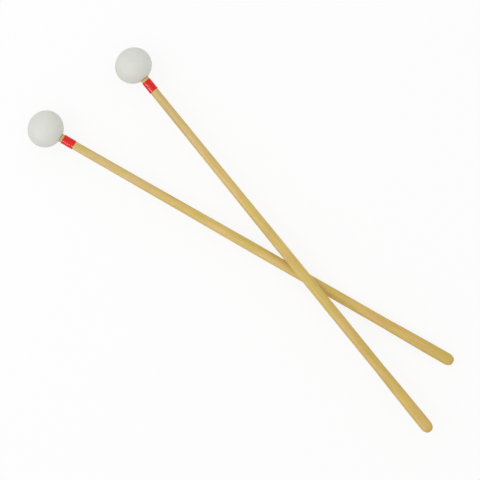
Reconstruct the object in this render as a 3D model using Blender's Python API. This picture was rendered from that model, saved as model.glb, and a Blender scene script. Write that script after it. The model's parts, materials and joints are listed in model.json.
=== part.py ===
"""A pair of xylophone mallets, one lying across the other, as separate pieces at their real size.

Each mallet is a turned wooden shaft whose tip is glued into a bored plastic head, with a coloured sleeve
shrunk on its neck. The lower mallet lies on the floor on its head and its butt. The upper one lies on its
head and across the lower one's shaft, so its butt stays off the floor.

Units are metres, +Z is up and the floor is z = 0. X runs along the pair, from the heads to the butts, and
the origin is on the floor, under the middle of the pair. A mallet's own x axis runs along its shaft, from
the middle of its head to its butt.
"""

import math

import bmesh
import bpy
from mathutils import Matrix, Vector

# The whole mallet, and its head: a ball that is a little squat along the shaft
MALLET_LENGTH = 0.370
HEAD_WIDTH = 0.0285
HEAD_LENGTH = 0.0270

# The shaft's three diameters, and how far its taper and its swell run
NECK_DIAMETER = 0.0066
BODY_DIAMETER = 0.0079
BUTT_DIAMETER = 0.0091
TAPER_LENGTH = 0.158
TAPER_POWER = 1.5
SWELL_LENGTH = 0.060

# The rounded butt, with the small flat that sanding leaves at its middle
BUTT_ROUNDING = 0.0055
BUTT_FLAT_DIAMETER = 0.0020

# How the tip sits in the head: a blind drilled bore, a film of glue and a bead of it at the mouth
TIP_DEPTH = 0.0170
TIP_CHAMFER = 0.0005
MOUTH_CHAMFER = 0.0004
GLUE_FILM = 0.00015
GLUE_PAD = 0.0004
GLUE_BEAD = 0.0003
DRILL_POINT_DEG = 118.0

# The coloured sleeve, and the bare wood between it and the head
SLEEVE_LENGTH = 0.0095
SLEEVE_WALL = 0.0003
BARE_NECK = 0.0023

# Clearances: between the pieces of one mallet, and between the two mallets where they touch
FIT_GAP = 0.00005
REST_GAP = 0.0003

# How the pair lies: the angle between the shafts, and how far they cross from each one's butt
CROSSING_DEG = 21.1
LOWER_CROSSING = 0.129
UPPER_CROSSING = 0.149

# Fineness of the round surfaces, and the angle past which an edge looks sharp
SIDES = 48
HEAD_STEPS = 11
SHAFT_STEPS = 16
BUTT_STEPS = 6
SLEEVE_STEPS = 3
BEAD_STEPS = 3
SHARP_DEG = 30.0
WELD = 1e-7

# Sizes that follow from the ones above
HEAD_RADIUS = HEAD_WIDTH / 2
HEAD_HALF = HEAD_LENGTH / 2
NECK_RADIUS = NECK_DIAMETER / 2
BODY_RADIUS = BODY_DIAMETER / 2
BUTT_RADIUS = BUTT_DIAMETER / 2
BORE_RADIUS = NECK_RADIUS + GLUE_FILM + 2 * FIT_GAP
MOUTH_RADIUS = BORE_RADIUS + MOUTH_CHAMFER
MOUTH_X = HEAD_HALF * math.sqrt(1 - (MOUTH_RADIUS / HEAD_RADIUS) ** 2)
BUTT_X = MALLET_LENGTH - HEAD_HALF
TIP_X = MOUTH_X - TIP_DEPTH
BORE_END_X = TIP_X - GLUE_PAD - 2 * FIT_GAP
DRILL_SLOPE = math.tan(math.radians(DRILL_POINT_DEG / 2))
SLEEVE_X = MOUTH_X + BARE_NECK


def clear_scene():
    """Removes whatever the scene holds."""
    for found in list(bpy.data.objects):
        bpy.data.objects.remove(found)


def material(name, colour, roughness, coat=0.0):
    """A Principled material of one colour, given as linear RGB."""
    made = bpy.data.materials.new(name)
    made.use_nodes = True
    made.diffuse_color = (*colour, 1.0)
    shader = made.node_tree.nodes["Principled BSDF"]
    shader.inputs["Base Color"].default_value = (*colour, 1.0)
    shader.inputs["Roughness"].default_value = roughness
    shader.inputs["Metallic"].default_value = 0.0
    shader.inputs["Coat Weight"].default_value = coat
    return made


def spread(start, end, steps):
    """The values from start to end in equal steps, both ends included."""
    return [start + (end - start) * step / steps for step in range(steps + 1)]


def share_of(value, whole):
    """How much of the whole the value is, held between 0 and 1."""
    return min(max(value / whole, 0.0), 1.0)


def shaft_radius(x):
    """The shaft's radius at x: a neck that widens to a straight body, and a swell at the butt."""
    taper = share_of(x - MOUTH_X, TAPER_LENGTH) ** TAPER_POWER
    swell_start = BUTT_X - SWELL_LENGTH
    swell = math.sin(share_of(x - swell_start, SWELL_LENGTH - BUTT_ROUNDING) * math.pi / 2)
    return NECK_RADIUS + (BODY_RADIUS - NECK_RADIUS) * taper + (BUTT_RADIUS - BODY_RADIUS) * swell


def shaft_profile():
    """(x, radius) points from the middle of the butt's flat to the middle of the tip."""
    flat = BUTT_FLAT_DIAMETER / 2
    rounding_x = BUTT_X - BUTT_ROUNDING
    butt = [
        (rounding_x + BUTT_ROUNDING * math.cos(a), flat + (BUTT_RADIUS - flat) * math.sin(a))
        for a in spread(0, math.pi / 2, BUTT_STEPS)
    ]
    turned = [(x, shaft_radius(x)) for x in spread(rounding_x, MOUTH_X, SHAFT_STEPS)[1:]]
    tip = [(TIP_X + TIP_CHAMFER, NECK_RADIUS), (TIP_X, NECK_RADIUS - TIP_CHAMFER)]
    return [(BUTT_X, 0.0), *butt, *turned, *tip, (TIP_X, 0.0)]


def head_profile():
    """(x, radius) points from the crown, over the ball, into the mouth and down the bore to its point."""
    mouth_angle = math.pi - math.asin(MOUTH_RADIUS / HEAD_RADIUS)
    front = spread(0, math.pi / 2, HEAD_STEPS)
    back = spread(math.pi / 2, mouth_angle, HEAD_STEPS)
    ball = [(-HEAD_HALF * math.cos(a), HEAD_RADIUS * math.sin(a)) for a in [*front[1:], *back[1:]]]
    bore = [(MOUTH_X - MOUTH_CHAMFER, BORE_RADIUS), (BORE_END_X, BORE_RADIUS)]
    return [(-HEAD_HALF, 0.0), *ball, *bore, (BORE_END_X - BORE_RADIUS / DRILL_SLOPE, 0.0)]


def glue_profile():
    """(x, radius) points of the set glue: a cup that fills the bore round the tip, with a bead at its mouth."""
    outer = BORE_RADIUS - FIT_GAP
    inner = NECK_RADIUS + FIT_GAP
    end_x = BORE_END_X + FIT_GAP
    pad_x = TIP_X - FIT_GAP
    bead_x = MOUTH_X + FIT_GAP
    bead_radius = outer + MOUTH_CHAMFER
    bead = [
        (bead_x + GLUE_BEAD * (1 - math.cos(a)), bead_radius + (inner - bead_radius) * math.sin(a))
        for a in spread(0, math.pi / 2, BEAD_STEPS)
    ]
    wall = [(end_x - outer / DRILL_SLOPE, 0.0), (end_x, outer), (MOUTH_X - MOUTH_CHAMFER, outer)]
    cup = [(TIP_X + TIP_CHAMFER - FIT_GAP, inner), (pad_x, inner - TIP_CHAMFER), (pad_x, 0.0)]
    return [*wall, *bead, *cup]


def sleeve_profile():
    """(x, radius) points round the sleeve's wall, which follows the shaft's taper and has eased ends."""
    half_wall = SLEEVE_WALL / 2
    stations = spread(SLEEVE_X, SLEEVE_X + SLEEVE_LENGTH, SLEEVE_STEPS)
    inner = [(x, shaft_radius(x) + FIT_GAP) for x in stations]
    eased = spread(SLEEVE_X + half_wall, SLEEVE_X + SLEEVE_LENGTH - half_wall, SLEEVE_STEPS)
    outer = [(x, shaft_radius(x) + FIT_GAP + SLEEVE_WALL) for x in eased]
    ends = [(x, radius + half_wall) for x, radius in (inner[0], inner[-1])]
    return [*reversed(inner), ends[0], *outer, ends[1]]


def turned_piece(name, profile, origin_x, is_ring, finish, mallet):
    """One object turned round the mallet's x axis from a profile, with its origin at origin_x on that axis."""
    mesh = bpy.data.meshes.new(name)
    shape = bmesh.new()
    points = [shape.verts.new((x - origin_x, 0.0, -radius)) for x, radius in profile]
    edges = [shape.edges.new(pair) for pair in zip(points, points[1:])]
    if is_ring:
        edges.append(shape.edges.new((points[-1], points[0])))
    bmesh.ops.spin(
        shape,
        geom=points + edges,
        cent=(0, 0, 0),
        axis=(1, 0, 0),
        angle=2 * math.pi,
        steps=SIDES,
        use_merge=True,
    )
    bmesh.ops.remove_doubles(shape, verts=shape.verts, dist=WELD)
    bmesh.ops.recalc_face_normals(shape, faces=shape.faces)
    shape.to_mesh(mesh)
    shape.free()
    mesh.materials.append(finish)
    mesh.shade_smooth()
    mesh.set_sharp_from_angle(angle=math.radians(SHARP_DEG))
    made = bpy.data.objects.new(name, mesh)
    made.location.x = origin_x
    made.parent = mallet
    bpy.context.scene.collection.objects.link(made)


def empty(name, parent=None):
    """An empty that carries other objects."""
    made = bpy.data.objects.new(name, None)
    made.parent = parent
    bpy.context.scene.collection.objects.link(made)
    return made


def make_mallet(prefix, finishes, pair):
    """The four pieces of one mallet, on an empty at the middle of its head."""
    mallet = empty(f"{prefix}_mallet", pair)
    turned_piece(f"{prefix}_head", head_profile(), 0.0, False, finishes["head"], mallet)
    turned_piece(f"{prefix}_shaft", shaft_profile(), BUTT_X, False, finishes["wood"], mallet)
    turned_piece(f"{prefix}_sleeve", sleeve_profile(), SLEEVE_X, True, finishes["sleeve"], mallet)
    turned_piece(f"{prefix}_glue", glue_profile(), MOUTH_X, False, finishes["glue"], mallet)
    return mallet


def bisect(holds, low, high):
    """The value between low and high up to which a statement holds."""
    middle = (low + high) / 2
    while low < middle < high:
        if holds(middle):
            low = middle
        else:
            high = middle
        middle = (low + high) / 2
    return middle


def head_height(dip):
    """The height of a head's middle when it lies on the floor and its shaft dips by that angle."""
    return math.hypot(HEAD_RADIUS * math.cos(dip), HEAD_HALF * math.sin(dip))


def dip_on_floor():
    """The angle by which a shaft dips when its head and its butt both lie on the floor."""
    profile = shaft_profile()

    def stays_up(dip):
        depths = [x * math.sin(dip) + radius * math.cos(dip) for x, radius in profile]
        return max(depths) < head_height(dip)

    return bisect(stays_up, 0.0, math.pi / 4)


def heading(turn, dip):
    """The direction of a shaft, from its head to its butt."""
    level = math.cos(dip)
    return Vector((level * math.cos(turn), level * math.sin(turn), -math.sin(dip)))


def dip_on_shaft(turn, lower_dip):
    """The angle by which the upper shaft dips when it lies on the lower one. It is below zero: it rises."""
    lower_x = BUTT_X - LOWER_CROSSING
    upper_x = BUTT_X - UPPER_CROSSING
    lower_height = head_height(lower_dip) - lower_x * math.sin(lower_dip)
    reach = shaft_radius(lower_x) + shaft_radius(upper_x) + REST_GAP

    def stays_up(dip):
        across = heading(turn, lower_dip).cross(heading(-turn, dip)).normalized()
        rise = head_height(dip) - upper_x * math.sin(dip) - lower_height
        return rise * abs(across.z) > reach

    return bisect(stays_up, -math.pi / 4, math.pi / 4)


def lay(mallet, turn, dip, crossing):
    """Puts a mallet's head on the floor and its crossing point on the pair's own vertical axis."""
    way = heading(turn, dip)
    side = Vector((0, 0, 1)).cross(way).normalized()
    from_head = BUTT_X - crossing
    place = Vector((-from_head * way.x, -from_head * way.y, head_height(dip)))
    turned = Matrix((way, side, way.cross(side))).transposed().to_4x4()
    mallet.matrix_local = Matrix.Translation(place) @ turned


def centre(pair):
    """Moves the pair so that the origin is on the floor, under its middle."""
    bpy.context.view_layer.update()
    meshes = [found for found in bpy.data.objects if found.type == "MESH"]
    points = [found.matrix_world @ vertex.co for found in meshes for vertex in found.data.vertices]
    low = Vector(min(point[k] for point in points) for k in range(3))
    high = Vector(max(point[k] for point in points) for k in range(3))
    pair.location = (-(low.x + high.x) / 2, -(low.y + high.y) / 2, -low.z)
    bpy.context.view_layer.update()


def build():
    clear_scene()
    finishes = {
        "head": material("white_plastic", (0.74, 0.75, 0.69), 0.35),
        "wood": material("lacquered_wood", (0.65, 0.49, 0.17), 0.40, coat=0.3),
        "sleeve": material("red_sleeve", (0.76, 0.045, 0.04), 0.28),
        "glue": material("set_glue", (0.62, 0.52, 0.26), 0.25),
    }
    pair = empty("mallet_pair")
    turn = math.radians(CROSSING_DEG) / 2
    lower_dip = dip_on_floor()
    lay(make_mallet("lower", finishes, pair), turn, lower_dip, LOWER_CROSSING)
    lay(make_mallet("upper", finishes, pair), -turn, dip_on_shaft(turn, lower_dip), UPPER_CROSSING)
    centre(pair)


build()
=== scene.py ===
"""The looks of a pair of xylophone mallets that lie crossed on a white floor.

Each mallet is a turned, lacquered shaft, a hard plastic ball head, a thin sleeve round the neck and the glue
between the shaft's tip and the head. Lengths are metres. A piece is shaped along its mallet's own x axis,
which runs from the middle of the head to the butt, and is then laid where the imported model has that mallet.
"""

import json
import math

import bmesh
import bpy
from mathutils import Matrix, Vector


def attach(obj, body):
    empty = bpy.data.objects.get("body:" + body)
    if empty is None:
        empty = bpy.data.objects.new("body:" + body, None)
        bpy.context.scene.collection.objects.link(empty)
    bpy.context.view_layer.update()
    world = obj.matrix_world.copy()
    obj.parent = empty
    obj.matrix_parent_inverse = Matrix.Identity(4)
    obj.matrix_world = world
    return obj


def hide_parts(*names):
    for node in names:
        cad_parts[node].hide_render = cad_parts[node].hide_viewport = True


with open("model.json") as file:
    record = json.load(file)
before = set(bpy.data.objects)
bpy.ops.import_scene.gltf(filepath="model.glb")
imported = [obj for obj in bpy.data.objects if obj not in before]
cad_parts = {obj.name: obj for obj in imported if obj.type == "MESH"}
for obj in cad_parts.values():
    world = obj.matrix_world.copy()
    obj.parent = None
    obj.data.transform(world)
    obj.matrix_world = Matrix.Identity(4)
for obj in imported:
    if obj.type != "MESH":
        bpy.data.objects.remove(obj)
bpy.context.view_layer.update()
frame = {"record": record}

# The mallet and its ball head
MALLET_LENGTH = 0.370
HEAD_RADIUS = 0.01425
HEAD_HALF = 0.0135

# The turned shaft
NECK_RADIUS = 0.0033
BODY_RADIUS = 0.00395
BUTT_RADIUS = 0.00455
TAPER_LENGTH = 0.158
TAPER_POWER = 1.5
SWELL_LENGTH = 0.060
BUTT_ROUNDING = 0.0055
BUTT_FLAT_RADIUS = 0.0010

# The tip in its bore, with the glue round it
TIP_DEPTH = 0.0170
TIP_CHAMFER = 0.0005
MOUTH_LIP = 0.0004
GLUE_FILM = 0.00015
GLUE_PAD = 0.0004
GLUE_BEAD = 0.0003
FIT_GAP = 0.00005
DRILL_SLOPE = math.tan(math.radians(59))

# How far the bead's height strays from its mean round the mouth, as shares of it
BEAD_SWELL = 0.25
BEAD_LUMPS = 0.15

# The sleeve round the neck
BARE_NECK = 0.0023
SLEEVE_LENGTH = 0.0095
SLEEVE_WALL = 0.0003
SLEEVE_LIP = 0.00006
SLEEVE_RIPPLE = 0.00002
SLEEVE_CUT_WOBBLE = 0.00008

# The reach of the sleeve's lips as a share of its length, and how its ripples run along it, in radians
LIP_REACH = 0.06
RIPPLE_PHASE = 17.0
RIPPLE_SWAY = 2.0
RIPPLE_TWIST = 5.0

# Places along the mallet's own x axis
BORE_RADIUS = NECK_RADIUS + GLUE_FILM + 2 * FIT_GAP
MOUTH_RADIUS = BORE_RADIUS + MOUTH_LIP
MOUTH_X = HEAD_HALF * math.sqrt(1 - (MOUTH_RADIUS / HEAD_RADIUS) ** 2)
BUTT_X = MALLET_LENGTH - HEAD_HALF
TIP_X = MOUTH_X - TIP_DEPTH
BORE_END_X = TIP_X - GLUE_PAD - 2 * FIT_GAP
SLEEVE_X = MOUTH_X + BARE_NECK

# How finely the pieces are divided, round them and along their profiles
SHAFT_SIDES = 96
SHAFT_RINGS = 180
BUTT_RINGS = 20
HEAD_SIDES = 128
BALL_RINGS = 96
LIP_RINGS = 6
SLEEVE_SIDES = 128
SLEEVE_RINGS = 48
SLEEVE_EDGE_STEPS = 4
GLUE_SIDES = 96
BEAD_STEPS = 6

# Points closer than this are one point, and an edge that turns more than this stays sharp
WELD = 1e-6
SHARP_EDGE = math.radians(50)

# Where each mallet's patterns start, and how far its sleeve and its bead are turned
LOWER_GRAIN = (0.0, 0.0, 0.0)
UPPER_GRAIN = (1.1, 0.01, 0.02)
LOWER_TURN = 0.0
UPPER_TURN = 5.0

# Wood grain: where the pith lay beside the shaft, how it leans, how wide a year's ring is, how far its line
# strays, and where in it the late wood starts and is darkest
PITH_Y = 0.013
PITH_Z = 0.004
PITH_LEAN_Y = 0.011
PITH_LEAN_Z = -0.005
RING_SPACING = 0.0019
RING_WAVER = 0.0016
LATE_WOOD_START = 0.35
LATE_WOOD_PEAK = 0.92

# How many lumps of each pattern lie in a metre, along the shaft and across it
WAVERS = (5.0, 50.0, 50.0)
FIBRES = (55.0, 1900.0, 1900.0)
LINES = (160.0, 6500.0, 6500.0)
FLECKS = (260.0, 2600.0, 2600.0)
STREAKS = (11.0, 380.0, 380.0)
PATCHES = (48.0, 170.0, 170.0)
BLUSHES = (42.0, 230.0, 230.0)
SPECKS = (1500.0, 1500.0, 1500.0)
RUBS = (260.0, 120.0, 120.0)
PEEL = (900.0, 900.0, 900.0)
CREASES = (110.0, 800.0, 800.0)
HOOPS = (1500.0, 260.0, 260.0)
BUBBLES_PER_METRE = 2600.0

# Scratches: how long and thin they are, which ways they run, their width in the noise, and their patches
SCRATCHES = (0.5, 9.0, 9.0)
SCRATCH_TURNS = ((0.3, 0.2, 0.9), (1.1, 0.5, -0.6), (0.7, 1.3, 0.2))
SCRATCH_WIDTH = 0.012
SCRATCHED_PATCHES = (0.4, 0.4, 0.4)

# Depths of the surfaces' relief
WOOD_RELIEF = 0.00003
BALL_RELIEF = 0.00002
SLEEVE_RELIEF = 0.00003
GLUE_RELIEF = 0.00006

# Roughness before wear, how much light the skins mirror, and the lacquer's thin gloss coat
WOOD_ROUGHNESS = 0.52
BALL_ROUGHNESS = 0.60
SLEEVE_ROUGHNESS = 0.16
GLUE_ROUGHNESS = 0.16
WOOD_GLOSS = 0.16
BALL_GLOSS = 0.2
SLEEVE_GLOSS = 0.28
LACQUER_COAT = 0.05
LACQUER_ROUGHNESS = 0.35

# Colours of the finishes
PALE_WOOD = (0.733, 0.572, 0.178, 1.0)
DARK_WOOD = (0.543, 0.371, 0.096, 1.0)
WARM_WOOD = (0.714, 0.460, 0.174, 1.0)
BLUSH_WOOD = (0.775, 0.525, 0.235, 1.0)
YELLOW_WOOD = (0.680, 0.550, 0.130, 1.0)
BUTT_HALF_TONE = (0.90, 0.86, 0.70, 1.0)
NECK_TONE = (0.92, 0.95, 1.08, 1.0)
CUT_TONE = (0.80, 0.74, 0.62, 1.0)
BALL_WHITE = (0.712, 0.719, 0.666, 1.0)
RUBBED_WHITE = (0.640, 0.640, 0.575, 1.0)
SCUFFED_WHITE = (0.560, 0.560, 0.510, 1.0)
SLEEVE_DEEP = (0.725, 0.007, 0.003, 1.0)
# The sleeve's paler, pinker tone on its stretched crests is partly the thinner film and partly a painted
# highlight
SLEEVE_PALE_AND_SHEEN = (0.880, 0.034, 0.022, 1.0)
SLEEVE_SCUFFED = (0.880, 0.120, 0.100, 1.0)
GLUE_AMBER = (0.320, 0.230, 0.100, 1.0)
GLUE_PALE = (0.480, 0.390, 0.210, 1.0)
FLOOR_WHITE = (0.93, 0.93, 0.93, 1.0)
FULL_WHITE = (1.0, 1.0, 1.0, 1.0)

# How much the wood takes on of each of its tones
WARM_SHARE = 0.45
YELLOW_SHARE = 0.45
BLUSH_SHARE = 0.6
BUTT_HALF_SHARE = 0.75
CUT_SHARE = 0.6

# The floor's half width, and the share of plain white that the camera sees on it
FLOOR_HALF = 3.0
FLOOR_GLOW_SHARE = 0.83

# The camera looks straight down, turned so that the pair lies as photographed
CAMERA_LENS = 200.0
CAMERA_HEIGHT = 2.034
CAMERA_X = -0.0117
CAMERA_Y = -0.0086
CAMERA_ROLL = math.radians(40.36)

# A wide soft key from the picture's left, a little towards its top, and a narrow strip from its lower left,
# beside the shafts, that only gloss picks up. An angle is counted from the picture's left towards its foot.
KEY = {
    "angle": -10.0,
    "elevation": 50.0,
    "distance": 1.1,
    "width": 0.8,
    "height": 0.6,
    "power": 1.6,
    "gloss_only": False,
}
STRIP = {
    "angle": 46.0,
    "elevation": 38.0,
    "distance": 1.0,
    "width": 1.3,
    "height": 0.17,
    "power": 12.5,
    "gloss_only": True,
}

# The sky is brighter overhead
SKY_TOP = 1.0
SKY_HORIZON = 0.62


class Term:
    """A number in a node tree. Adding or multiplying terms lays the nodes that work the result out."""

    def __init__(self, sheet, socket):
        self.sheet = sheet
        self.socket = socket

    def __add__(self, other):
        return self.sheet.math("ADD", self, other)

    def __radd__(self, other):
        return self.sheet.math("ADD", other, self)

    def __sub__(self, other):
        return self.sheet.math("SUBTRACT", self, other)

    def __rsub__(self, other):
        return self.sheet.math("SUBTRACT", other, self)

    def __mul__(self, other):
        return self.sheet.math("MULTIPLY", self, other)

    def __truediv__(self, other):
        return self.sheet.math("DIVIDE", self, other)

    def __pow__(self, other):
        return self.sheet.math("POWER", self, other)


class Sheet:
    """A node tree that is laid out node by node. What a socket is fed is a constant, a term or an output."""

    def __init__(self, tree):
        self.tree = tree
        self.entry = None

    def feed(self, socket, value):
        if isinstance(value, Term):
            value = value.socket
        if isinstance(value, bpy.types.NodeSocket):
            self.tree.links.new(value, socket)
        else:
            socket.default_value = value

    def node(self, kind, inputs=None, **settings):
        made = self.tree.nodes.new(kind)
        for name, value in settings.items():
            setattr(made, name, value)
        for name, value in (inputs or {}).items():
            self.feed(made.inputs[name], value)
        return made

    def math(self, operation, *values):
        made = self.node("ShaderNodeMath", operation=operation)
        for socket, value in zip(made.inputs, values):
            self.feed(socket, value)
        return Term(self, made.outputs["Value"])

    def share(self, value, whole):
        """How much of the whole the value is, held between 0 and 1."""
        part = self.math("DIVIDE", value, whole)
        return self.math("MINIMUM", self.math("MAXIMUM", part, 0.0), 1.0)

    def step(self, value, low, high):
        """Runs smoothly from 0 at low to 1 at high."""
        made = self.node(
            "ShaderNodeMapRange",
            {"Value": value, "From Min": low, "From Max": high},
            interpolation_type="SMOOTHSTEP",
        )
        return Term(self, made.outputs["Result"])

    def mix(self, factor, low, high, blend="MIX"):
        """The colour between low and high, or their blend."""
        made = self.node("ShaderNodeMix", {0: factor, 6: low, 7: high}, data_type="RGBA", blend_type=blend)
        return made.outputs[2]

    def noise(self, place, stretch=(1.0, 1.0, 1.0), detail=2.0, roughness=0.5, turn=(0.0, 0.0, 0.0)):
        """Cloudy noise round 0.5, between 0 and 1, with that many lumps in a metre along each axis."""
        laid = self.node("ShaderNodeMapping", {"Vector": place, "Scale": stretch, "Rotation": turn})
        made = self.node(
            "ShaderNodeTexNoise",
            {"Vector": laid.outputs[0], "Scale": 1.0, "Detail": detail, "Roughness": roughness},
        )
        return Term(self, made.outputs["Fac"])

    def marks(self, place, stretch, low, high, detail=2.0, roughness=0.5):
        """Marks that fade in where such noise rises from low to high."""
        return self.step(self.noise(place, stretch, detail, roughness), low, high)

    def bump(self, height, depth):
        """The normal of a surface that rises with height, by depth metres from 0 to 1."""
        made = self.node("ShaderNodeBump", {"Height": height, "Distance": depth, "Strength": 1.0})
        return made.outputs["Normal"]

    def effect(self, tree, inputs):
        """Places a shader node group and gives its outputs by name."""
        made = self.tree.nodes.new("ShaderNodeGroup")
        made.node_tree = tree
        for name, value in inputs.items():
            self.feed(made.inputs[name], value)
        return {output.name: Term(self, output) for output in made.outputs}

    def sin(self, angle):
        return self.math("SINE", angle)

    def cos(self, angle):
        return self.math("COSINE", angle)

    def take(self, name, kind, default=None):
        """A named input of the tree, as a term or as the socket that carries it."""
        made = self.tree.interface.new_socket(name=name, in_out="INPUT", socket_type=kind)
        if default is not None:
            made.default_value = default
        if self.entry is None:
            self.entry = self.tree.nodes.new("NodeGroupInput")
        socket = self.entry.outputs[name]
        return Term(self, socket) if kind in ("NodeSocketFloat", "NodeSocketInt") else socket

    def give(self, results):
        """The tree's named outputs, from (name, kind, value)."""
        leave = self.tree.nodes.new("NodeGroupOutput")
        for name, kind, value in results:
            self.tree.interface.new_socket(name=name, in_out="OUTPUT", socket_type=kind)
            self.feed(leave.inputs[name], value)


def turned_grid(sheet, rings, sides):
    """A grid to turn into a round piece, with its ring number and its angle as terms."""
    grid = sheet.node(
        "GeometryNodeMeshGrid",
        {"Size X": 1.0, "Size Y": 1.0, "Vertices X": rings + 1, "Vertices Y": sides + 1},
    )
    position = sheet.node("GeometryNodeInputPosition").outputs[0]
    place = sheet.node("ShaderNodeSeparateXYZ", {"Vector": position})
    along = Term(sheet, place.outputs["X"]) + 0.5
    around = Term(sheet, place.outputs["Y"]) + 0.5
    ring = sheet.math("ROUND", along * rings)
    return grid, ring, around * (2 * math.pi)


def finish_turning(sheet, grid, x, radius, angle, extras=()):
    """Lays the grid's rings at x with that radius, closes the seam and the poles and gives the finish.

    extras are more numbers to keep at each point, as (name, kind, value).
    """
    offset = sheet.take("Pattern Offset", "NodeSocketVector")
    finish = sheet.take("Finish", "NodeSocketMaterial")
    spot = sheet.node(
        "ShaderNodeCombineXYZ",
        {"X": x, "Y": radius * sheet.cos(angle), "Z": 0.0 - radius * sheet.sin(angle)},
    ).outputs[0]
    pattern_place = sheet.node("ShaderNodeVectorMath", {0: spot, 1: offset}, operation="ADD").outputs[0]
    mapped = sheet.node(
        "GeometryNodeStoreNamedAttribute",
        {"Geometry": grid.outputs["Mesh"], "Name": "UVMap", "Value": grid.outputs["UV Map"]},
        data_type="FLOAT2",
        domain="CORNER",
    )
    shape = mapped.outputs[0]
    for name, kind, value in (("mallet_place", "FLOAT_VECTOR", pattern_place), *extras):
        stored = sheet.node(
            "GeometryNodeStoreNamedAttribute",
            {"Geometry": shape, "Name": name, "Value": value},
            data_type=kind,
            domain="POINT",
        )
        shape = stored.outputs[0]
    laid = sheet.node("GeometryNodeSetPosition", {"Geometry": shape, "Position": spot})
    closed = sheet.node("GeometryNodeMergeByDistance", {"Geometry": laid.outputs[0], "Distance": WELD})
    smooth = sheet.node("GeometryNodeSetShadeSmooth", {"Geometry": closed.outputs[0]})
    real = sheet.node("GeometryNodeRealizeInstances", {"Geometry": smooth.outputs[0]})
    coated = sheet.node("GeometryNodeSetMaterial", {"Geometry": real.outputs[0], "Material": finish})
    sheet.give([("Geometry", "NodeSocketGeometry", coated.outputs[0])])


def turned_shaft_tree():
    """The rule of a turned shaft: a chamfered tip, a widening neck, a straight body and a rounded butt."""
    sheet = Sheet(bpy.data.node_groups.new("turned_shaft", "GeometryNodeTree"))
    length = "NodeSocketFloat"
    count = "NodeSocketInt"
    tip_x = sheet.take("Tip X", length)
    mouth_x = sheet.take("Mouth X", length)
    butt_x = sheet.take("Butt X", length)
    neck = sheet.take("Neck Radius", length)
    body = sheet.take("Body Radius", length)
    butt = sheet.take("Butt Radius", length)
    flat = sheet.take("Flat Radius", length)
    taper_length = sheet.take("Taper Length", length)
    taper_power = sheet.take("Taper Power", length)
    swell_length = sheet.take("Swell Length", length)
    rounding = sheet.take("Rounding", length)
    chamfer = sheet.take("Tip Chamfer", length)
    long_steps = sheet.take("Long Steps", count)
    round_steps = sheet.take("Round Steps", count)
    sides = sheet.take("Sides", count)

    # Ring 0 and the last ring are the poles, and ring 1 is the tip's rim
    rings = long_steps + round_steps + 2
    grid, ring, angle = turned_grid(sheet, rings, sides)
    straight = sheet.share(ring - 1.0, long_steps)
    bend = sheet.share(ring - 1.0 - long_steps, round_steps)
    open_ring = sheet.share(ring, 1.0) * sheet.share(rings - ring, 1.0)

    rounding_x = butt_x - rounding
    straight_x = tip_x + (rounding_x - tip_x) * straight
    taper = sheet.share(straight_x - mouth_x, taper_length) ** taper_power
    swell = sheet.share(straight_x - (butt_x - swell_length), swell_length - rounding)
    outer = neck + (body - neck) * taper + (butt - body) * sheet.sin(swell * (math.pi / 2))
    outer = sheet.math("MINIMUM", outer, neck - chamfer + (straight_x - tip_x))
    bend_angle = bend * (math.pi / 2)
    x = straight_x + rounding * sheet.sin(bend_angle)
    radius = (flat + (outer - flat) * sheet.cos(bend_angle)) * open_ring
    extras = [("along", "FLOAT", straight), ("end_grain", "FLOAT", bend)]
    finish_turning(sheet, grid, x, radius, angle, extras)
    return sheet.tree


def ball_head_tree():
    """The rule of a ball head: a ball a little squat along the shaft, a rounded mouth and a drilled bore."""
    sheet = Sheet(bpy.data.node_groups.new("ball_head", "GeometryNodeTree"))
    length = "NodeSocketFloat"
    count = "NodeSocketInt"
    head_radius = sheet.take("Head Radius", length)
    head_half = sheet.take("Head Half Length", length)
    lip = sheet.take("Mouth Lip", length)
    bore = sheet.take("Bore Radius", length)
    bore_end_x = sheet.take("Bore End X", length)
    slope = sheet.take("Drill Slope", length)
    ball_steps = sheet.take("Ball Steps", count)
    lip_steps = sheet.take("Lip Steps", count)
    sides = sheet.take("Sides", count)

    # Ring 0 is the crown, and the last two are the bore's corner and its point
    rings = ball_steps + lip_steps + 2
    grid, ring, angle = turned_grid(sheet, rings, sides)
    mouth_angle = math.pi - sheet.math("ARCSINE", (bore + lip) / head_radius)
    ball_angle = sheet.share(ring, ball_steps) * mouth_angle
    lip_angle = sheet.share(ring - ball_steps, lip_steps) * (math.pi / 2)
    in_bore = sheet.share(ring - ball_steps - lip_steps, 1.0)
    at_point = sheet.share(ring - ball_steps - lip_steps - 1.0, 1.0)
    lip_end_x = 0.0 - head_half * sheet.cos(mouth_angle) - lip
    ball_x = 0.0 - head_half * sheet.cos(ball_angle)
    lip_x = ball_x - lip * (1.0 - sheet.cos(lip_angle))
    x = lip_x - (lip_end_x - bore_end_x) * in_bore - bore / slope * at_point
    radius = head_radius * sheet.sin(ball_angle) - lip * sheet.sin(lip_angle) - bore * at_point
    finish_turning(sheet, grid, x, radius, angle)
    return sheet.tree


def shaped(tree, values):
    """The mesh that a tree makes from these values of its named inputs."""
    carrier = bpy.data.objects.new("rule", bpy.data.meshes.new("rule"))
    bpy.context.scene.collection.objects.link(carrier)
    rule = carrier.modifiers.new("rule", "NODES")
    rule.node_group = tree
    for item in tree.interface.items_tree:
        if item.in_out == "INPUT":
            rule[item.identifier] = values[item.name]
    graph = bpy.context.evaluated_depsgraph_get()
    mesh = bpy.data.meshes.new_from_object(carrier.evaluated_get(graph))
    bpy.data.objects.remove(carrier)
    return mesh


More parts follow.
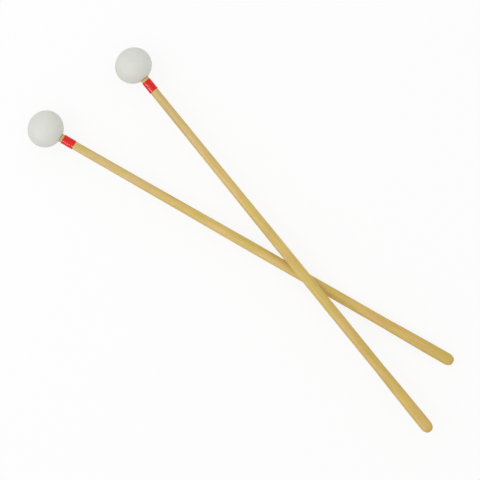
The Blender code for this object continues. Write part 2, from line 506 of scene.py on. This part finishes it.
def mallet_matrix(prefix):
    """The matrix that lays a mallet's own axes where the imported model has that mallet."""
    mount = next(m for m in frame["record"]["mounts"] if m["name"] == f"{prefix}_butt_face")
    way = Vector(mount["axis"]).normalized()
    side = Vector((0, 0, 1)).cross(way).normalized()
    head_middle = Vector(mount["pos_m"]) - way * BUTT_X
    turned = Matrix((way, side, way.cross(side))).transposed().to_4x4()
    return Matrix.Translation(head_middle) @ turned


def finish_piece(name, mesh, prefix, part):
    """Makes a mesh a piece that stands for its solid and moves with its mallet."""
    mesh.name = name
    mesh.transform(mallet_matrix(prefix))
    mesh.set_sharp_from_angle(angle=SHARP_EDGE)
    made = bpy.data.objects.new(name, mesh)
    bpy.context.scene.collection.objects.link(made)
    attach(made, f"{prefix}_mallet")
    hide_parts(f"{prefix}_{part}")


def shaft_radius(x):
    """The turned shaft's radius at x, from the neck to the middle."""
    taper = min(max((x - MOUTH_X) / TAPER_LENGTH, 0.0), 1.0)
    return NECK_RADIUS + (BODY_RADIUS - NECK_RADIUS) * taper ** TAPER_POWER


def ringed_mesh(profile, sides, is_ring, finish, offset):
    """A round mesh. profile gives the (x, radius) points at an angle, in a closed loop for a ring."""
    shape = bmesh.new()
    rounds = []
    for number in range(sides):
        angle = 2 * math.pi * number / sides
        ring = [(x, radius * math.cos(angle), radius * math.sin(angle)) for x, radius in profile(angle)]
        rounds.append([shape.verts.new(point) for point in ring])
    count = len(rounds[0])
    last = count if is_ring else count - 1
    for number in range(sides):
        here = rounds[number]
        there = rounds[(number + 1) % sides]
        for k in range(last):
            shape.faces.new((here[k], there[k], there[(k + 1) % count], here[(k + 1) % count]))
    bmesh.ops.remove_doubles(shape, verts=shape.verts, dist=WELD)
    bmesh.ops.recalc_face_normals(shape, faces=shape.faces)
    mesh = bpy.data.meshes.new("rings")
    shape.to_mesh(mesh)
    shape.free()
    mesh.materials.append(finish)
    mesh.shade_smooth()
    place = mesh.attributes.new("mallet_place", "FLOAT_VECTOR", "POINT")
    for number, vertex in enumerate(mesh.vertices):
        place.data[number].vector = vertex.co + Vector(offset)
    return mesh


def spread(start, end, steps):
    """The values from start to end in equal steps, both ends included."""
    return [start + (end - start) * step / steps for step in range(steps + 1)]


def sleeve_profile(turn):
    """The (x, radius) points round the sleeve's wall at an angle. turn shifts its ripples and cut ends."""
    half_wall = SLEEVE_WALL / 2

    def bore(x):
        return shaft_radius(x) + FIT_GAP

    def relief(along, angle):
        """How far the lips at both ends and the ripples stand out."""
        lips = math.exp(-((along / LIP_REACH) ** 2)) + math.exp(-(((1 - along) / LIP_REACH) ** 2))
        sway = RIPPLE_SWAY * math.sin(angle + turn)
        ripple = math.sin(RIPPLE_PHASE * along + sway) * math.sin(2 * angle + RIPPLE_TWIST * along + turn)
        return SLEEVE_LIP * lips + SLEEVE_RIPPLE * ripple

    def cut_end(x, inward, first, last):
        """The half round at the cut end at x, between the wall's inner and outer faces.

        inward is 1 where the sleeve lies on the far side of x, and -1 where it lies on the near side.
        """
        return [
            (x + inward * half_wall * (1 - math.cos(a)), bore(x) + half_wall * (1 + math.sin(a)))
            for a in spread(first, last, SLEEVE_EDGE_STEPS)[1:-1]
        ]

    def at(angle):
        start = SLEEVE_X + SLEEVE_CUT_WOBBLE * math.sin(angle + turn)
        end = SLEEVE_X + SLEEVE_LENGTH + SLEEVE_CUT_WOBBLE * math.sin(2 * angle + 3 * turn)
        inner = [(x, bore(x)) for x in (end - half_wall, start + half_wall)]
        outer = [
            (x, bore(x) + SLEEVE_WALL + relief((x - start) / (end - start), angle))
            for x in spread(start + half_wall, end - half_wall, SLEEVE_RINGS)
        ]
        quarter = math.pi / 2
        return [*inner, *cut_end(start, 1, -quarter, quarter), *outer, *cut_end(end, -1, quarter, -quarter)]

    return at


def glue_profile(turn):
    """The (x, radius) points of the set glue at an angle: a cup round the tip with a bead at the mouth."""
    outer = BORE_RADIUS - FIT_GAP
    inner = NECK_RADIUS + FIT_GAP
    end_x = BORE_END_X + FIT_GAP
    pad_x = TIP_X - FIT_GAP
    bead_x = MOUTH_X + FIT_GAP
    bead_radius = outer + MOUTH_LIP
    wall = [(end_x - outer / DRILL_SLOPE, 0.0), (end_x, outer), (MOUTH_X - MOUTH_LIP, outer)]
    cup = [(TIP_X + TIP_CHAMFER - FIT_GAP, inner), (pad_x, inner - TIP_CHAMFER), (pad_x, 0.0)]

    def at(angle):
        lumps = BEAD_SWELL * math.sin(2 * angle + turn) + BEAD_LUMPS * math.sin(5 * angle - turn)
        rise = GLUE_BEAD * (1 + lumps)
        bead = [
            (bead_x + rise * (1 - math.cos(a)), bead_radius + (inner - bead_radius) * math.sin(a))
            for a in spread(0, math.pi / 2, BEAD_STEPS)
        ]
        return [*wall, *bead, *cup]

    return at


def soft_mottle_group():
    """An uneven tone round 1, as in a coloured plastic, a varnish or a set glue."""
    sheet = Sheet(bpy.data.node_groups.new("soft_mottle", "ShaderNodeTree"))
    place = sheet.take("Place", "NodeSocketVector")
    lumps = sheet.take("Lumps Per Metre", "NodeSocketFloat", 200.0)
    contrast = sheet.take("Contrast", "NodeSocketFloat", 0.1)
    scaled = sheet.node("ShaderNodeVectorMath", {0: place, "Scale": lumps}, operation="SCALE").outputs[0]
    cloud = sheet.noise(scaled, detail=3.0, roughness=0.6)
    sheet.give([("Tone", "NodeSocketFloat", 1.0 + (cloud - 0.5) * contrast)])
    return sheet.tree


def fine_scuffs_group():
    """Patches of thin crossing scratches, as use leaves on a smooth surface."""
    sheet = Sheet(bpy.data.node_groups.new("fine_scuffs", "ShaderNodeTree"))
    place = sheet.take("Place", "NodeSocketVector")
    lumps = sheet.take("Lumps Per Metre", "NodeSocketFloat", 300.0)
    amount = sheet.take("Amount", "NodeSocketFloat", 0.5)
    scaled = sheet.node("ShaderNodeVectorMath", {0: place, "Scale": lumps}, operation="SCALE").outputs[0]
    lines = None
    for turn in SCRATCH_TURNS:
        strands = sheet.noise(scaled, SCRATCHES, detail=1.0, turn=turn)
        line = 1.0 - sheet.step(sheet.math("ABSOLUTE", strands - 0.5), 0.0, SCRATCH_WIDTH)
        lines = line if lines is None else sheet.math("MAXIMUM", lines, line)
    patches = sheet.marks(scaled, SCRATCHED_PATCHES, low=0.48, high=0.66, detail=1.0)
    sheet.give([("Mask", "NodeSocketFloat", lines * patches * amount)])
    return sheet.tree


def new_finish(name):
    """A material, its sheet and its Principled shader."""
    made = bpy.data.materials.new(name)
    made.use_nodes = True
    return made, Sheet(made.node_tree), made.node_tree.nodes["Principled BSDF"]


def mallet_place_of(sheet):
    """Where a point is on its own mallet: x along the shaft, y and z across it."""
    return sheet.node("ShaderNodeAttribute", attribute_name="mallet_place").outputs["Vector"]


def stored_value(sheet, name):
    """A number that the mesh keeps at each of its points."""
    return Term(sheet, sheet.node("ShaderNodeAttribute", attribute_name=name).outputs["Fac"])


def lacquered_birch(effects):
    """Straight-grained pale birch under a satin lacquer, duller at the neck and darker towards the butt."""
    made, sheet, shader = new_finish("lacquered_birch")
    place = mallet_place_of(sheet)
    parts = sheet.node("ShaderNodeSeparateXYZ", {"Vector": place})
    x, y, z = (Term(sheet, parts.outputs[axis]) for axis in "XYZ")

    # The growth rings run almost along the shaft, round a pith that lay beside it
    waver = sheet.noise(place, WAVERS) - 0.5
    beside = y - PITH_Y - x * PITH_LEAN_Y
    above = z - PITH_Z - x * PITH_LEAN_Z
    from_pith = sheet.math("SQRT", beside * beside + above * above) + waver * RING_WAVER
    ring = sheet.math("FRACT", from_pith / RING_SPACING)
    darkening = sheet.step(ring, LATE_WOOD_START, LATE_WOOD_PEAK)
    late_wood = darkening * (1.0 - sheet.step(ring, LATE_WOOD_PEAK, 1.0))

    # Late wood, fibres, the finer lines between them and short flecks each darken the wood
    fibres = sheet.noise(place, FIBRES, detail=3.0, roughness=0.6)
    lines = sheet.noise(place, LINES)
    flecks = sheet.marks(place, FLECKS, low=0.64, high=0.74, detail=1.0)
    grain = 0.30 + late_wood * 0.30 + (fibres - 0.5) * 1.5 + (lines - 0.5) * 0.7 + flecks * 0.35
    colour = sheet.mix(sheet.share(grain, 1.0), PALE_WOOD, DARK_WOOD)

    # Long streaks are warmer, and wide patches are yellower or pinker
    streaks = sheet.marks(place, STREAKS, low=0.42, high=0.62)
    patches = sheet.marks(place, PATCHES, low=0.46, high=0.66)
    blush = sheet.marks(place, BLUSHES, low=0.40, high=0.66, detail=3.0)
    colour = sheet.mix(streaks * WARM_SHARE, colour, WARM_WOOD)
    colour = sheet.mix(patches * YELLOW_SHARE, colour, YELLOW_WOOD)
    colour = sheet.mix(blush * BLUSH_SHARE, colour, BLUSH_WOOD)

    # The neck is duller, the half towards the butt is darker, and the cut across the butt drinks in more
    # lacquer
    along = stored_value(sheet, "along")
    neck = 1.0 - sheet.step(along, low=0.08, high=0.40)
    butt_half = sheet.step(along, low=0.30, high=0.95)
    cut = sheet.step(stored_value(sheet, "end_grain"), low=0.25, high=1.0)
    colour = sheet.mix(neck, colour, NECK_TONE, "MULTIPLY")
    colour = sheet.mix(butt_half * BUTT_HALF_SHARE, colour, BUTT_HALF_TONE, "MULTIPLY")
    colour = sheet.mix(cut * CUT_SHARE, colour, CUT_TONE, "MULTIPLY")
    mottle = sheet.effect(effects["mottle"], {"Place": place, "Lumps Per Metre": 60.0, "Contrast": 0.16})
    colour = sheet.mix(1.0, colour, mottle["Tone"], "MULTIPLY")
    sheet.feed(shader.inputs["Base Color"], colour)

    # The lacquer is duller on the fibres and where it is scuffed
    scuffs = sheet.effect(effects["scuffs"], {"Place": place, "Lumps Per Metre": 260.0, "Amount": 0.6})
    roughness = WOOD_ROUGHNESS + (fibres - 0.5) * 0.25 + scuffs["Mask"] * 0.2
    sheet.feed(shader.inputs["Roughness"], roughness)
    shader.inputs["Specular IOR Level"].default_value = WOOD_GLOSS
    shader.inputs["Coat Weight"].default_value = LACQUER_COAT
    shader.inputs["Coat Roughness"].default_value = LACQUER_ROUGHNESS
    height = fibres * 0.7 + lines * 0.3 - flecks * 0.5 - late_wood * 0.2 - scuffs["Mask"] * 0.3
    sheet.feed(shader.inputs["Normal"], sheet.bump(height, WOOD_RELIEF))
    return made


def ball_plastic(effects):
    """Hard off-white plastic with a satin skin, rubbed a little where it meets the bars."""
    made, sheet, shader = new_finish("ball_plastic")
    place = mallet_place_of(sheet)
    mottle = sheet.effect(effects["mottle"], {"Place": place, "Lumps Per Metre": 160.0, "Contrast": 0.07})
    scuffs = sheet.effect(effects["scuffs"], {"Place": place, "Lumps Per Metre": 190.0, "Amount": 0.7})
    specks = sheet.marks(place, SPECKS, low=0.68, high=0.76, detail=1.0)
    rubbed = sheet.marks(place, RUBS, low=0.5, high=0.75, detail=3.0, roughness=0.65)
    colour = sheet.mix(1.0, BALL_WHITE, mottle["Tone"], "MULTIPLY")
    colour = sheet.mix(rubbed * 0.25, colour, RUBBED_WHITE)
    colour = sheet.mix(sheet.math("MAXIMUM", scuffs["Mask"] * 0.35, specks * 0.25), colour, SCUFFED_WHITE)
    sheet.feed(shader.inputs["Base Color"], colour)
    sheet.feed(shader.inputs["Roughness"], BALL_ROUGHNESS + rubbed * 0.12 + scuffs["Mask"] * 0.15)
    shader.inputs["Specular IOR Level"].default_value = BALL_GLOSS
    peel = sheet.noise(place, PEEL)
    sheet.feed(shader.inputs["Normal"], sheet.bump(peel * 0.6 - scuffs["Mask"] * 0.4, BALL_RELIEF))
    return made


def sleeve_red(effects):
    """Thin red plastic, shrunk on with heat, with fine creases along it and faint ones round it."""
    made, sheet, shader = new_finish("sleeve_red")
    place = mallet_place_of(sheet)
    creases = sheet.noise(place, CREASES, roughness=0.45)
    hoops = sheet.noise(place, HOOPS)
    scuffs = sheet.effect(effects["scuffs"], {"Place": place, "Lumps Per Metre": 500.0, "Amount": 0.8})
    mottle = sheet.effect(effects["mottle"], {"Place": place, "Lumps Per Metre": 500.0, "Contrast": 0.5})
    # The stretched crests of the creases are paler and pinker: partly the thinner film, partly a painted
    # highlight
    stretched_and_sheen = sheet.step(creases, low=0.47, high=0.68)
    colour = sheet.mix(stretched_and_sheen * 0.5, SLEEVE_DEEP, SLEEVE_PALE_AND_SHEEN)
    colour = sheet.mix(1.0, colour, mottle["Tone"], "MULTIPLY")
    colour = sheet.mix(scuffs["Mask"] * 0.4, colour, SLEEVE_SCUFFED)
    sheet.feed(shader.inputs["Base Color"], colour)
    sheet.feed(shader.inputs["Roughness"], SLEEVE_ROUGHNESS + (hoops - 0.5) * 0.2 + scuffs["Mask"] * 0.25)
    shader.inputs["Specular IOR Level"].default_value = SLEEVE_GLOSS
    height = creases * 0.7 + hoops * 0.3 - scuffs["Mask"] * 0.1
    sheet.feed(shader.inputs["Normal"], sheet.bump(height, SLEEVE_RELIEF))
    return made


def set_glue(effects):
    """Amber glue that has set glossy and a little cloudy, with small bubbles."""
    made, sheet, shader = new_finish("set_glue")
    place = mallet_place_of(sheet)
    mottle = sheet.effect(effects["mottle"], {"Place": place, "Lumps Per Metre": 900.0, "Contrast": 0.5})
    cells = sheet.node("ShaderNodeTexVoronoi", {"Vector": place, "Scale": BUBBLES_PER_METRE})
    bubbles = 1.0 - sheet.step(Term(sheet, cells.outputs["Distance"]), low=0.12, high=0.24)
    colour = sheet.mix(1.0, GLUE_AMBER, mottle["Tone"], "MULTIPLY")
    colour = sheet.mix(bubbles * 0.5, colour, GLUE_PALE)
    sheet.feed(shader.inputs["Base Color"], colour)
    sheet.feed(shader.inputs["Roughness"], GLUE_ROUGHNESS + bubbles * 0.2)
    sheet.feed(shader.inputs["Normal"], sheet.bump(mottle["Tone"] - bubbles * 0.3, GLUE_RELIEF))
    return made


def make_mallet(prefix, trees, finishes, offset, turn):
    """The four pieces of one mallet. offset and turn give it a grain, a sleeve and a bead of its own."""
    shaft = shaped(
        trees["shaft"],
        {
            "Tip X": TIP_X,
            "Mouth X": MOUTH_X,
            "Butt X": BUTT_X,
            "Neck Radius": NECK_RADIUS,
            "Body Radius": BODY_RADIUS,
            "Butt Radius": BUTT_RADIUS,
            "Flat Radius": BUTT_FLAT_RADIUS,
            "Taper Length": TAPER_LENGTH,
            "Taper Power": TAPER_POWER,
            "Swell Length": SWELL_LENGTH,
            "Rounding": BUTT_ROUNDING,
            "Tip Chamfer": TIP_CHAMFER,
            "Long Steps": SHAFT_RINGS,
            "Round Steps": BUTT_RINGS,
            "Sides": SHAFT_SIDES,
            "Pattern Offset": offset,
            "Finish": finishes["birch"],
        },
    )
    head = shaped(
        trees["head"],
        {
            "Head Radius": HEAD_RADIUS,
            "Head Half Length": HEAD_HALF,
            "Mouth Lip": MOUTH_LIP,
            "Bore Radius": BORE_RADIUS,
            "Bore End X": BORE_END_X,
            "Drill Slope": DRILL_SLOPE,
            "Ball Steps": BALL_RINGS,
            "Lip Steps": LIP_RINGS,
            "Sides": HEAD_SIDES,
            "Pattern Offset": offset,
            "Finish": finishes["plastic"],
        },
    )
    sleeve = ringed_mesh(sleeve_profile(turn), SLEEVE_SIDES, True, finishes["sleeve"], offset)
    glue = ringed_mesh(glue_profile(turn), GLUE_SIDES, False, finishes["glue"], offset)
    finish_piece(f"{prefix}_turned_shaft", shaft, prefix, "shaft")
    finish_piece(f"{prefix}_ball_head", head, prefix, "head")
    finish_piece(f"{prefix}_neck_sleeve", sleeve, prefix, "sleeve")
    finish_piece(f"{prefix}_glue_ring", glue, prefix, "glue")


def camera_background(sheet, shader, white, share):
    """Mixes that share of white in for the camera and in reflections, and leaves other rays the shader."""
    path = sheet.node("ShaderNodeLightPath")
    seen = sheet.math("MAXIMUM", path.outputs["Is Camera Ray"], path.outputs["Is Glossy Ray"])
    seen = sheet.math("MAXIMUM", seen, path.outputs["Is Transmission Ray"])
    return sheet.node("ShaderNodeMixShader", {"Fac": seen * share, 1: shader, 2: white}).outputs[0]


def white_floor():
    """A pale floor that reads as the photograph's white ground and keeps a soft shadow."""
    made, sheet, shader = new_finish("white_floor")
    made.node_tree.nodes.remove(shader)
    paper = sheet.node("ShaderNodeBsdfDiffuse", {"Color": FLOOR_WHITE})
    glow = sheet.node("ShaderNodeEmission", {"Color": FULL_WHITE, "Strength": 1.0})
    mixed = camera_background(sheet, paper.outputs[0], glow.outputs[0], FLOOR_GLOW_SHARE)
    sheet.feed(made.node_tree.nodes["Material Output"].inputs["Surface"], mixed)
    mesh = bpy.data.meshes.new("floor")
    corners = [(x * FLOOR_HALF, y * FLOOR_HALF, 0.0) for x, y in ((-1, -1), (1, -1), (1, 1), (-1, 1))]
    mesh.from_pydata(corners, [], [(0, 1, 2, 3)])
    mesh.materials.append(made)
    floor = bpy.data.objects.new("floor", mesh)
    bpy.context.scene.collection.objects.link(floor)


def sky():
    """An even white sky, brighter overhead than at its edge, and plain white where the camera sees it."""
    world = bpy.data.worlds.new("soft_sky")
    bpy.context.scene.world = world
    world.use_nodes = True
    sheet = Sheet(world.node_tree)
    shader = world.node_tree.nodes["Background"]
    direction = sheet.node("ShaderNodeTexCoord").outputs["Generated"]
    height = Term(sheet, sheet.node("ShaderNodeSeparateXYZ", {"Vector": direction}).outputs["Z"])
    upward = sheet.share(height, 1.0)
    sheet.feed(shader.inputs["Strength"], SKY_HORIZON + upward * (SKY_TOP - SKY_HORIZON))
    sheet.feed(shader.inputs["Color"], FULL_WHITE)
    white = sheet.node("ShaderNodeBackground", {"Color": FULL_WHITE, "Strength": 1.0})
    mixed = camera_background(sheet, shader.outputs[0], white.outputs[0], 1.0)
    sheet.feed(world.node_tree.nodes["World Output"].inputs["Surface"], mixed)


def soft_light(name, light):
    """An oblong light that faces the mallets."""
    lamp = bpy.data.lights.new(name, "AREA")
    lamp.shape = "RECTANGLE"
    lamp.size = light["width"]
    lamp.size_y = light["height"]
    lamp.energy = light["power"]
    heading = math.pi + CAMERA_ROLL + math.radians(light["angle"])
    elevation = math.radians(light["elevation"])
    towards = Vector(
        (
            math.cos(heading) * math.cos(elevation),
            math.sin(heading) * math.cos(elevation),
            math.sin(elevation),
        )
    )
    made = bpy.data.objects.new(name, lamp)
    made.visible_diffuse = not light["gloss_only"]
    made.location = towards * light["distance"]
    made.rotation_euler = towards.to_track_quat("Z", "Y").to_euler()
    bpy.context.scene.collection.objects.link(made)


def camera():
    """The long lens straight above the pair."""
    lens = bpy.data.cameras.new("overhead")
    lens.lens = CAMERA_LENS
    made = bpy.data.objects.new("overhead", lens)
    made.location = (CAMERA_X, CAMERA_Y, CAMERA_HEIGHT)
    made.rotation_euler = (0.0, 0.0, CAMERA_ROLL)
    bpy.context.scene.collection.objects.link(made)
    bpy.context.scene.camera = made


trees = {"shaft": turned_shaft_tree(), "head": ball_head_tree()}
effects = {"mottle": soft_mottle_group(), "scuffs": fine_scuffs_group()}
finishes = {
    "birch": lacquered_birch(effects),
    "plastic": ball_plastic(effects),
    "sleeve": sleeve_red(effects),
    "glue": set_glue(effects),
}
make_mallet("lower", trees, finishes, LOWER_GRAIN, LOWER_TURN)
make_mallet("upper", trees, finishes, UPPER_GRAIN, UPPER_TURN)
white_floor()
sky()
soft_light("soft_key", KEY)
soft_light("gloss_strip", STRIP)
camera()
bpy.context.scene.view_settings.view_transform = "Standard"
